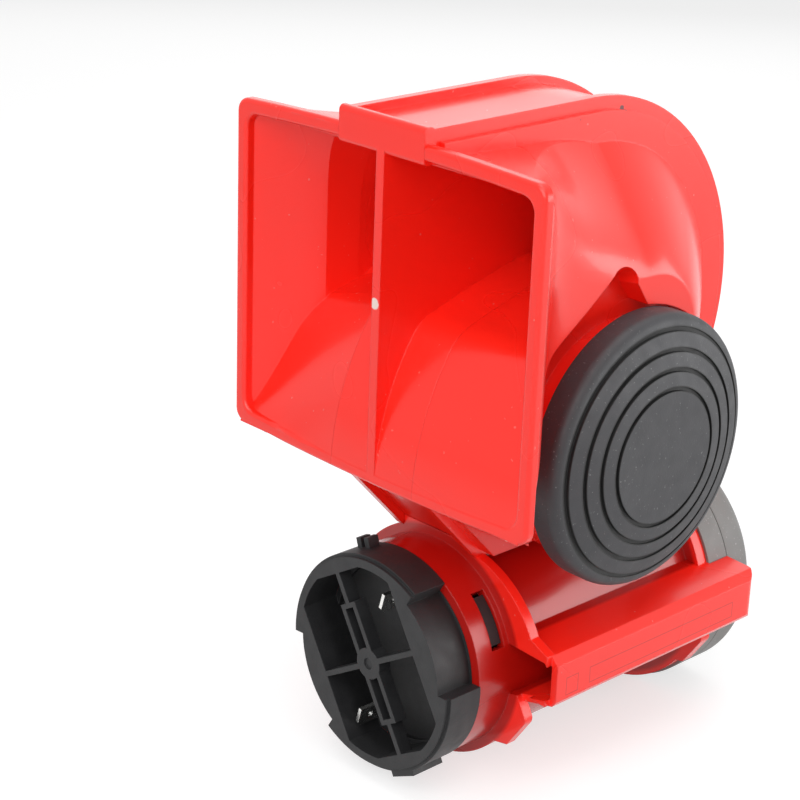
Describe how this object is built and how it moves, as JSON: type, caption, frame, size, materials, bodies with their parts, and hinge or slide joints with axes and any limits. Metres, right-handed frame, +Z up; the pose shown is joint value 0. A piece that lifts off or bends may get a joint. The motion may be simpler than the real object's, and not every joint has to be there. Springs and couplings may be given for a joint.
{
  "type": "car horn",
  "caption": "Compact electric compressor horn: side-by-side scroll trumpets with flared mouths and round diaphragm caps on a barrel-shaped motor pump, hung from a bore at the back of its neck.",
  "frame": {"origin": "centre of the mounting bore through the lug at the back of the neck", "axes": "+X along the bore, to the right as seen from in front; +Y to the back, along the motor; +Z up. The trumpets open towards -Y."},
  "size_m": [0.0878, 0.0995, 0.1474],
  "materials": {
    "red_plastic": "gloss moulded plastic",
    "black_plastic": "fine-grained moulded plastic",
    "grey_plastic": "speckled grey moulded plastic",
    "tinned_blade": "bright tinned metal",
    "steel": "plain steel",
    "magnet": "sintered ferrite",
    "copper": "enamelled copper",
    "bronze": "sintered bronze",
    "carbon": "carbon",
    "rotor_alloy": "machined",
    "seal": "matt rubber"
  },
  "bodies": {
    "housing": {"scroll_center": "red_plastic", "side_shell_right": "red_plastic", "side_shell_left": "red_plastic", "diaphragm_cap_right": "black_plastic", "diaphragm_cap_left": "black_plastic", "diaphragm_right": "steel", "diaphragm_left": "steel", "clamp_ring_right": "black_plastic", "clamp_ring_left": "black_plastic", "compressor_body": "red_plastic", "duct_seal": "seal", "motor_end_cap": "black_plastic", "terminal_positive": "tinned_blade", "terminal_negative": "tinned_blade", "motor_can": "steel", "magnet_upper": "magnet", "magnet_lower": "magnet", "brush_holder": "black_plastic", "carbon_brushes": "carbon", "front_bushing": "bronze", "rear_bushing": "bronze", "pump_head": "grey_plastic", "pump_cover": "grey_plastic", "pump_screws": "steel"},
    "rotor": {"motor_shaft": "steel", "armature_core": "steel", "armature_winding": "copper", "commutator": "copper", "pump_rotor": "rotor_alloy", "pump_vanes": "carbon"}
  },
  "joints": [
    {"name": "rotor_spin", "type": "hinge", "parent": "housing", "child": "rotor", "pos_m": [0, -0.05, -0.03898], "axis": [0, 1, 0], "continuous": true}
  ]
}
